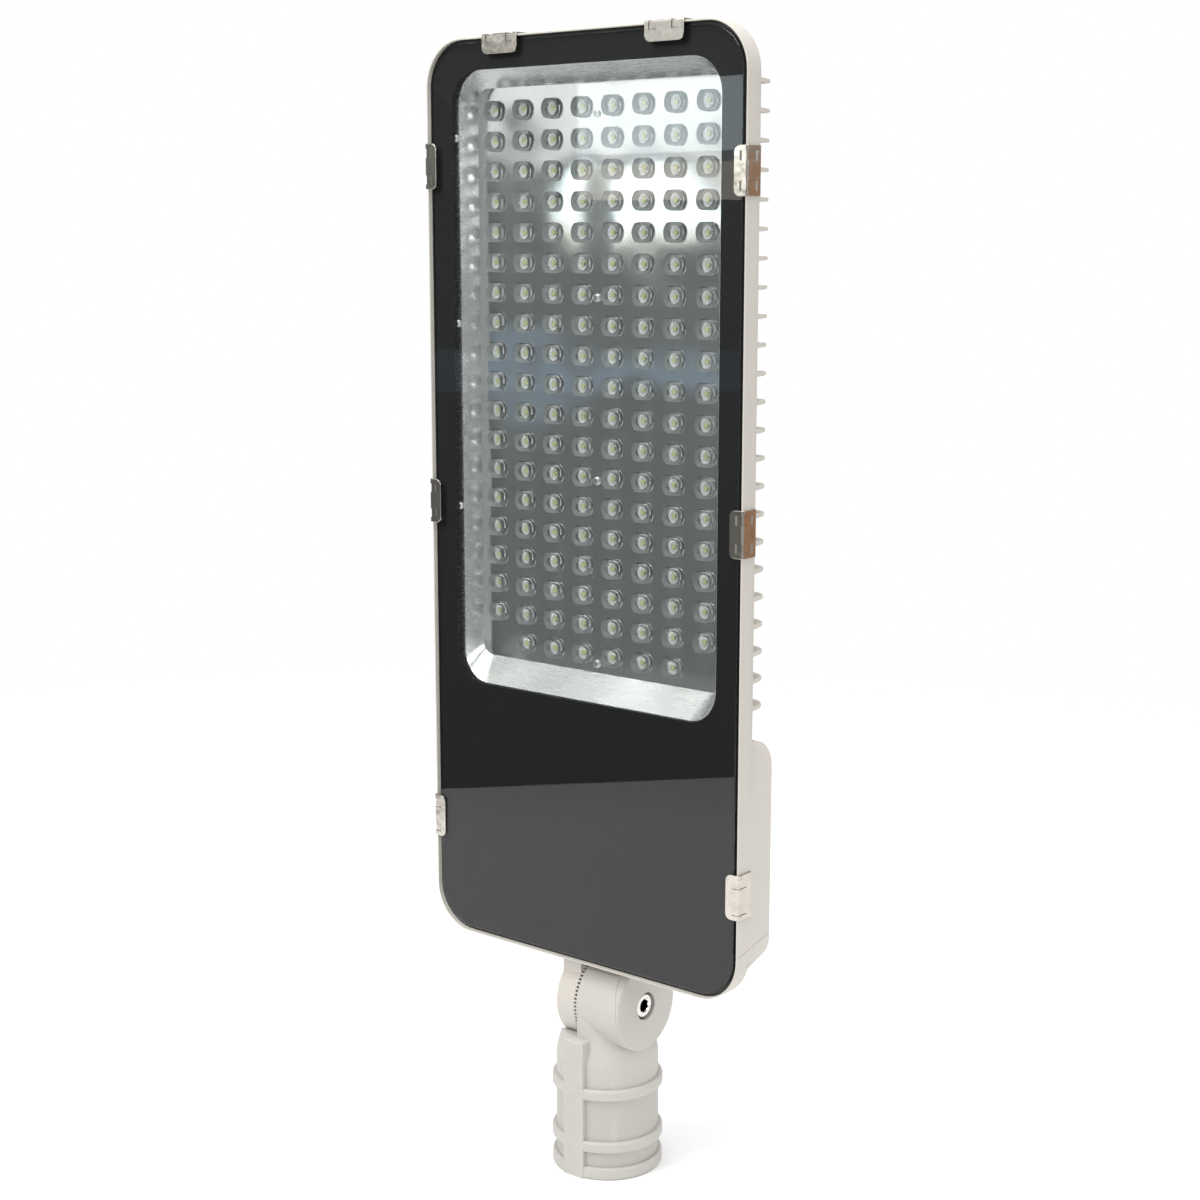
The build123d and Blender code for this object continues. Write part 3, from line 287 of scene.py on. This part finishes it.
def paint(material, *nodes):
    """Gives CAD nodes one finish."""
    for node in nodes:
        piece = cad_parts[node]
        for slot in piece.material_slots:
            slot.link = "OBJECT"
            slot.material = material


def named(start):
    """CAD nodes whose names start with a word."""
    found = sorted(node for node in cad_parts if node.startswith(start))
    if not found:
        raise RuntimeError(f"no node starts with {start}")
    return found


# ---------------------------------------------------------------- finishes
def powder_coat(name, tone, grain, roughness):
    """Sprayed powder on a casting: orange peel and faint mottling, with painted highlight on sharp edges and
    painted shade in corners.
    """
    f = Finish(name)
    mottle = f.noise(60 * MM, 3.0)
    fine = f.noise(2.2 * MM, 2.0)
    edges = f.edges()
    base = f.blend(mottle.span(0.3, 0.7) * 0.6, shade(tone, 0.975), shade(tone, 1.02))
    base = f.blend(fine.span(0.35, 0.65) * 0.22, base, shade(tone, 0.93))
    # painted highlight: sharp edges made paler
    base = f.blend(edges.span(0.52, 0.62) * 0.30, base, shade(tone, 1.16))
    # painted shade: corners and creases darkened, as ambient occlusion would darken them
    dust_and_corner_shade = shade((tone[0], tone[1] * 0.985, tone[2] * 0.96), 0.72)
    base = f.blend((1 - edges.span(0.40, 0.485)) * 0.35, base, dust_and_corner_shade)
    base = f.blend(f.pits(26 * MM, 0.018) * 0.35, base, shade(tone, 0.55))
    rough = roughness + 0.10 * (f.noise(9 * MM, 3.0) - 0.5) + 0.06 * (mottle - 0.5)
    peel = f.noise(grain, 2.0, 0.45)
    soft = f.bump(f.noise(14 * MM, 2.0), 0.10 * MM, 0.5)
    normal = f.bump(peel, 0.045 * MM, 0.55, soft)
    return f.done(f.body(Base_Color=base, Roughness=rough, Normal=normal, Specular_IOR_Level=0.45))


def clear_pane(name):
    """Tempered glass that lets the lights reach what is behind it."""
    f = Finish(name)
    wave = f.noise(70 * MM, 1.0)
    smear = f.noise(45 * MM, 4.0, 0.6, (1, 1, 0.35)).span(0.5, 0.8)
    dust_and_corner_shade = f.pits(7 * MM, 0.05)
    glass = f.body(
        Base_Color=(0.965, 0.985, 0.975), Roughness=0.012 + 0.03 * smear + 0.10 * dust_and_corner_shade, IOR=1.5,
        Transmission_Weight=1.0, Normal=f.bump(wave, 0.05 * MM, 0.35),
    )
    open_air = Signal(f, f.add("ShaderNodeBsdfTransparent", None, {0: (0.93, 0.95, 0.94, 1)}).outputs[0])
    lamp_ray = Signal(f, f.add("ShaderNodeLightPath").outputs["Is Shadow Ray"])
    mixed = f.add("ShaderNodeMixShader", None, {0: lamp_ray, 1: glass, 2: open_air})
    return f.done(Signal(f, mixed.outputs[0]))


def clear_acrylic(name):
    """Moulded lens sheet, very slightly milky."""
    f = Finish(name)
    flow = f.noise(5 * MM, 2.0)
    lens = f.body(
        Base_Color=(0.985, 0.99, 0.985), Roughness=0.01 + 0.02 * flow, IOR=1.49, Transmission_Weight=1.0,
        Normal=f.bump(flow, 0.02 * MM, 0.3),
    )
    open_air = Signal(f, f.add("ShaderNodeBsdfTransparent", None, {0: (0.90, 0.92, 0.92, 1)}).outputs[0])
    lamp_ray = Signal(f, f.add("ShaderNodeLightPath").outputs["Is Shadow Ray"])
    mixed = f.add("ShaderNodeMixShader", None, {0: lamp_ray, 1: lens, 2: open_air})
    return f.done(Signal(f, mixed.outputs[0]))


def printed_border(name, tone):
    """Black fired print with a faint screen grain."""
    f = Finish(name)
    grain = f.noise(0.3 * MM, 2.0)
    cloud = f.noise(50 * MM, 3.0)
    base = f.blend(cloud.span(0.3, 0.7), tone, shade(tone, 1.35))
    rough = 0.55 + 0.1 * (grain - 0.5)
    return f.done(f.body(Base_Color=base, Roughness=rough, Normal=f.bump(grain, 0.001 * MM, 0.2)))


def bright_sheet(name, tone, wave, depth, roughness, bow=None):
    """Bright aluminium sheet: rolled lines, slow waves and faint stains.

    bow makes the sheet lean back between two heights, by so much in all.
    """
    f = Finish(name)
    lines = f.noise(0.5 * MM, 2.0, 0.5, (0.04, 1, 1))
    stain = f.noise(35 * MM, 4.0, 0.6)
    base = f.blend(stain.span(0.45, 0.75) * 0.4, tone, shade(tone, 0.86))
    base = f.blend(f.pits(18 * MM, 0.03) * 0.5, base, shade(tone, 0.5))
    rough = roughness + 0.06 * (stain - 0.5) + 0.05 * (lines - 0.5)
    slow = f.bump(f.noise(wave, 0.6), depth, 0.8)
    if bow:
        start, end, rise = bow
        _, _, z = f.axes()
        along = z.span(start, end)
        slow = f.bump(1 - along * along, rise, 1.0, slow)
    normal = f.bump(lines, 0.0015 * MM, 0.4, slow)
    return f.done(f.body(Base_Color=base, Metallic=1.0, Roughness=rough, Normal=normal))


def spring_steel(name, tone, roughness=0.16):
    """Bright sprung stainless strip: drawn lines, handling marks and painted highlight on its edges."""
    f = Finish(name)
    lines = f.noise(0.45 * MM, 3.0, 0.6, (1, 1, 0.08))
    marks = f.noise(6 * MM, 4.0, 0.6)
    edges = f.edges()
    tarnish = shade((tone[0], tone[1] * 0.95, tone[2] * 0.86), 0.66)
    base = f.blend(marks.span(0.45, 0.7) * 0.5, tone, tarnish)
    # painted highlight: sharp edges made lighter
    base = f.blend(edges.span(0.53, 0.65) * 0.5, base, shade(tone, 1.2))
    rough = roughness + 0.14 * (marks - 0.5) + 0.08 * (lines - 0.5)
    dents = f.bump(f.noise(7 * MM, 1.0), 0.25 * MM, 0.6)
    normal = f.bump(lines, 0.003 * MM, 0.5, dents)
    return f.done(f.body(Base_Color=base, Metallic=1.0, Roughness=rough, Normal=normal))


def turned_steel(name, tone, roughness=0.3, socket=None):
    """Machined screw steel with painted shade in its recesses and painted highlight on its edges; past the X
    of socket it is painted dark with shade.
    """
    f = Finish(name)
    grain = f.noise(0.4 * MM, 3.0)
    edges = f.edges()
    # painted shade: recesses and corners darkened
    base = f.blend((1 - edges.span(0.40, 0.49)) * 0.8, tone, shade(tone, 0.25))
    # painted highlight: sharp edges made lighter
    base = f.blend(edges.span(0.53, 0.62) * 0.5, base, shade(tone, 1.3))
    if socket is not None:
        x, _, _ = f.axes()
        # painted shade: the bolt is dark brown past the socket's rim
        base = f.blend(x < socket, base, (0.035, 0.028, 0.022))
    rough = roughness + 0.2 * (grain - 0.5)
    normal = f.bump(grain, 0.004 * MM, 0.4)
    return f.done(f.body(Base_Color=base, Metallic=1.0, Roughness=rough, Normal=normal))


def black_rubber(name, tone=(0.012, 0.012, 0.012)):
    """Matt rubber or silicone with a dusty bloom."""
    f = Finish(name)
    bloom = f.noise(3 * MM, 3.0)
    base = f.blend(bloom.span(0.45, 0.75) * 0.5, tone, shade(tone, 2.6))
    rough = 0.6 + 0.2 * (bloom - 0.5)
    return f.done(f.body(Base_Color=base, Roughness=rough, Normal=f.bump(bloom, 0.03 * MM, 0.5)))


def moulded(name, tone, roughness=0.45, grain=0.5 * MM):
    """Moulded plastic with a spark-eroded grain and painted highlight on its edges."""
    f = Finish(name)
    fine = f.noise(grain, 2.0)
    cloud = f.noise(20 * MM, 3.0)
    base = f.blend(cloud.span(0.3, 0.7) * 0.4, tone, shade(tone, 0.85))
    # painted highlight: sharp edges made lighter
    base = f.blend(f.edges().span(0.53, 0.65) * 0.3, base, shade(tone, 1.5))
    rough = roughness + 0.14 * (cloud - 0.5)
    return f.done(f.body(Base_Color=base, Roughness=rough, Normal=f.bump(fine, 0.03 * MM, 0.5)))


def led_chip(name, dot, base_tone):
    """White LED base with its phosphor dot, told apart by height."""
    f = Finish(name)
    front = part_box("led_chips")[0][1]
    _, y, _ = f.axes()
    on_dot = y < front + DOT_STEP
    speck = f.noise(0.25 * MM, 2.0)
    phosphor = f.blend(speck.span(0.3, 0.7), dot, shade(dot, 0.8))
    base = f.blend(on_dot, base_tone, phosphor)
    rough = 0.5 + 0.1 * (speck - 0.5)
    return f.done(f.body(Base_Color=base, Roughness=rough, Normal=f.bump(speck, 0.02 * MM, 0.4)))


def solder_mask(name):
    """Pale grey solder mask with a weave just showing through."""
    f = Finish(name)
    weave = f.noise(0.7 * MM, 1.0)
    base = f.blend(weave.span(0.4, 0.6) * 0.3, (0.50, 0.50, 0.50), (0.42, 0.42, 0.42))
    rough = 0.38 + 0.1 * (weave - 0.5)
    return f.done(f.body(Base_Color=base, Roughness=rough, Normal=f.bump(weave, 0.01 * MM, 0.4)))


# ---------------------------------------------------------------- operators
class LAMP_OT_castings(bpy.types.Operator):
    """Powder coat on the head casting and the spigot."""

    bl_idname = "lamp.castings"
    bl_label = "Castings"

    def execute(self, context):
        s = context.scene.lamp_finish
        paint(powder_coat("head_powder_coat", s.coat, s.coat_grain, s.coat_roughness), "housing")
        paint(powder_coat("spigot_powder_coat", s.spigot_coat, s.coat_grain, s.coat_roughness), "spigot")
        return {"FINISHED"}


class LAMP_OT_glazing(bpy.types.Operator):
    """Glass pane, printed border and gasket."""

    bl_idname = "lamp.glazing"
    bl_label = "Glazing"

    def execute(self, context):
        s = context.scene.lamp_finish
        paint(clear_pane("tempered_glass"), "glass_pane")
        paint(printed_border("fired_print", s.print_tone), "glass_print")
        paint(black_rubber("silicone_gasket"), "glass_gasket")
        return {"FINISHED"}


class LAMP_OT_clips(bpy.types.Operator):
    """Spring clips that hold the glass."""

    bl_idname = "lamp.clips"
    bl_label = "Glass clips"

    def execute(self, context):
        paint(spring_steel("clip_spring_steel", context.scene.lamp_finish.clip), *named("glass_clip"))
        return {"FINISHED"}


class LAMP_OT_reflector(bpy.types.Operator):
    """Reflector frame, perforated plate and their screws."""

    bl_idname = "lamp.reflector"
    bl_label = "Reflector"

    def execute(self, context):
        s = context.scene.lamp_finish
        paint(bright_sheet("frame_sheet", s.mirror, 80 * MM, 5 * MM, 0.27), "reflector_frame")
        plate = bright_sheet("plate_sheet", s.plate, 62 * MM, 3.6 * MM, 0.12, PLATE_BOW)
        paint(plate, "reflector_plate")
        screws = named("flange_screw") + named("plate_screw")
        paint(turned_steel("small_screw_steel", (0.70, 0.70, 0.69)), *screws)
        return {"FINISHED"}


class LAMP_OT_optics(bpy.types.Operator):
    """Lens sheet, LED chips, board and thermal pad."""

    bl_idname = "lamp.optics"
    bl_label = "Optics"

    def execute(self, context):
        s = context.scene.lamp_finish
        paint(clear_acrylic("lens_acrylic"), "lens_array")
        paint(led_chip("led_chip", s.phosphor, s.ceramic), "led_chips")
        paint(solder_mask("board_mask"), "led_board")
        paint(moulded("thermal_pad_grey", (0.30, 0.30, 0.33), 0.7), "thermal_pad")
        return {"FINISHED"}


class LAMP_OT_knuckle(bpy.types.Operator):
    """Pivot bolt, nut, washer, seal, grommet and pole screws."""

    bl_idname = "lamp.knuckle"
    bl_label = "Knuckle hardware"

    def execute(self, context):
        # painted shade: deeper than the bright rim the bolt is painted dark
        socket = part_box("pivot_bolt")[1][0] - SOCKET_RIM
        paint(turned_steel("bolt_steel", (0.74, 0.72, 0.69), 0.20, socket), "pivot_bolt")
        paint(turned_steel("nut_steel", (0.70, 0.68, 0.65), 0.24), "pivot_nut", "pivot_washer")
        paint(turned_steel("pole_screw_steel", (0.62, 0.62, 0.61)), *named("pole_screw"))
        paint(black_rubber("seal_rubber"), "knuckle_seal", "cable_grommet")
        return {"FINISHED"}


class LAMP_OT_bay(bpy.types.Operator):
    """Driver bay: driver, strap, terminals, surge module, leads, gland and vent."""

    bl_idname = "lamp.bay"
    bl_label = "Driver bay"

    def execute(self, context):
        paint(bright_sheet("driver_case_metal", (0.52, 0.53, 0.54), 60 * MM, 0.1 * MM, 0.42), "driver_case")
        paint(moulded("cap_plastic", (0.020, 0.020, 0.022)), *named("driver_cap"))
        paint(spring_steel("strap_steel", (0.62, 0.63, 0.62), 0.35), "driver_strap", *named("strap_screw"))
        paint(moulded("terminal_plastic", (0.70, 0.66, 0.52)), "terminal_block")
        paint(moulded("surge_plastic", (0.02, 0.06, 0.30)), "surge_module")
        nylon = moulded("gland_nylon", (0.022, 0.022, 0.024), 0.5, 0.8 * MM)
        paint(nylon, "gland_body", "gland_cap", "vent_plug")
        paint(moulded("red_sleeve", (0.40, 0.010, 0.008), 0.35), "board_lead_1")
        paint(moulded("black_sleeve", (0.012, 0.012, 0.012), 0.35), "board_lead_2")
        paint(moulded("brown_sleeve", (0.12, 0.035, 0.012), 0.35), "mains_lead_1")
        paint(moulded("blue_sleeve", (0.010, 0.050, 0.30), 0.35), "mains_lead_2")
        return {"FINISHED"}


def add_card(name, left, right, bottom, top, tone, strength):
    """Flat card seen in mirrors and through the glass, and never straight from the camera."""
    corners = [(*left, bottom[0]), (*right, bottom[1]), (*right, top[1]), (*left, top[0])]
    mesh = bpy.data.meshes.new(name)
    mesh.from_pydata(corners, [], [(0, 1, 2, 3)])
    card = bpy.data.objects.new(name, mesh)
    f = Finish(name)
    glow = f.add("ShaderNodeEmission", None, {0: (*tone, 1), 1: strength})
    mesh.materials.append(f.done(Signal(f, glow.outputs[0])))
    card.visible_camera = False
    card.visible_diffuse = False
    card.visible_shadow = False
    bpy.context.scene.collection.objects.link(card)


def add_light(name, place, target, side, power):
    """Soft square light aimed at a point."""
    lamp = bpy.data.lights.new(name, "AREA")
    lamp.shape = "RECTANGLE"
    lamp.size = lamp.size_y = side
    lamp.energy = power
    holder = bpy.data.objects.new(name, lamp)
    holder.location = place
    holder.rotation_euler = (Vector(target) - Vector(place)).to_track_quat("-Z", "Y").to_euler()
    bpy.context.scene.collection.objects.link(holder)


class LAMP_OT_stage(bpy.types.Operator):
    """Pale floor, soft studio light and the camera."""

    bl_idname = "lamp.stage"
    bl_label = "Stage"

    def execute(self, context):
        s = context.scene.lamp_stage
        low, high = (Vector(corner) for corner in CAD_BOX)
        middle = (low + high) / 2
        self.add_floor(s, low.z)
        self.add_world(context.scene, s.sky)
        context.scene.view_settings.view_transform = "Standard"
        for name, place, target, side, power in LIGHTS:
            add_light(name, place, target or middle, side, power)
        for card in MIRROR_CARDS:
            add_card(*card)
        camera = bpy.data.cameras.new("camera")
        camera.lens = s.lens
        camera.sensor_width = SENSOR_WIDTH
        camera.clip_start = CLIP_START
        holder = bpy.data.objects.new("camera", camera)
        holder.location = s.eye
        aim = Vector(s.target) - Vector(s.eye)
        holder.rotation_euler = aim.to_track_quat("-Z", "Y").to_euler()
        context.scene.collection.objects.link(holder)
        context.scene.camera = holder
        return {"FINISHED"}

    def add_floor(self, s, height):
        """Round floor that melts into the backdrop."""
        turns = [math.tau * i / FLOOR_SIDES for i in range(FLOOR_SIDES)]
        rim = [(FLOOR_RADIUS * math.cos(turn), FLOOR_RADIUS * math.sin(turn), height) for turn in turns]
        mesh = bpy.data.meshes.new("floor")
        mesh.from_pydata(rim, [], [tuple(range(FLOOR_SIDES))])
        floor = bpy.data.objects.new("floor", mesh)
        f = Finish("floor_paint")
        tone = f.blend(f.noise(0.4, 2.0) * 0.3, s.floor, shade(s.floor, 0.985))
        x, y, _ = f.axes()
        away = (x * x + y * y).power(0.5).span(*FLOOR_FADE)
        solid = f.body(Base_Color=tone, Roughness=0.9, Specular_IOR_Level=0.1)
        clear = Signal(f, f.add("ShaderNodeBsdfTransparent").outputs[0])
        mixed = f.add("ShaderNodeMixShader", None, {0: away, 1: solid, 2: clear})
        mesh.materials.append(f.done(Signal(f, mixed.outputs[0])))
        bpy.context.scene.collection.objects.link(floor)

    def add_world(self, scene, strength):
        """White backdrop with softer light from it."""
        world = bpy.data.worlds.new("studio")
        world.use_nodes = True
        nodes, links = world.node_tree.nodes, world.node_tree.links
        soft = nodes["Background"]
        soft.inputs["Color"].default_value = (1, 1, 1, 1)
        soft.inputs["Strength"].default_value = strength
        white = nodes.new("ShaderNodeBackground")
        white.inputs["Color"].default_value = (1, 1, 1, 1)
        seen = nodes.new("ShaderNodeLightPath")
        mixed = nodes.new("ShaderNodeMixShader")
        links.new(seen.outputs["Is Camera Ray"], mixed.inputs[0])
        links.new(soft.outputs[0], mixed.inputs[1])
        links.new(white.outputs[0], mixed.inputs[2])
        links.new(mixed.outputs[0], nodes["World Output"].inputs["Surface"])
        scene.world = world


OPERATORS = (
    LAMP_OT_castings,
    LAMP_OT_glazing,
    LAMP_OT_clips,
    LAMP_OT_reflector,
    LAMP_OT_optics,
    LAMP_OT_knuckle,
    LAMP_OT_bay,
    LAMP_OT_stage,
)


class LAMP_PT_panel(bpy.types.Panel):
    """Lists the lamp's operators and settings."""

    bl_idname = "LAMP_PT_panel"
    bl_label = "Street lamp"
    bl_space_type = "VIEW_3D"
    bl_region_type = "UI"
    bl_category = "Lamp"

    def draw(self, context):
        for operator in OPERATORS:
            self.layout.operator(operator.bl_idname)
        for group in (context.scene.lamp_finish, context.scene.lamp_stage):
            for key in group.__annotations__:
                self.layout.prop(group, key)


CLASSES = (LampFinishSettings, LampStageSettings, *OPERATORS, LAMP_PT_panel)


def register():
    for item in CLASSES:
        bpy.utils.register_class(item)
    bpy.types.Scene.lamp_finish = PointerProperty(type=LampFinishSettings)
    bpy.types.Scene.lamp_stage = PointerProperty(type=LampStageSettings)


def unregister():
    del bpy.types.Scene.lamp_stage
    del bpy.types.Scene.lamp_finish
    for item in reversed(CLASSES):
        bpy.utils.unregister_class(item)


def main():
    register()
    for operator in OPERATORS:
        group, name = operator.bl_idname.split(".")
        getattr(getattr(bpy.ops, group), name)()


if __name__ == "__main__":
    main()
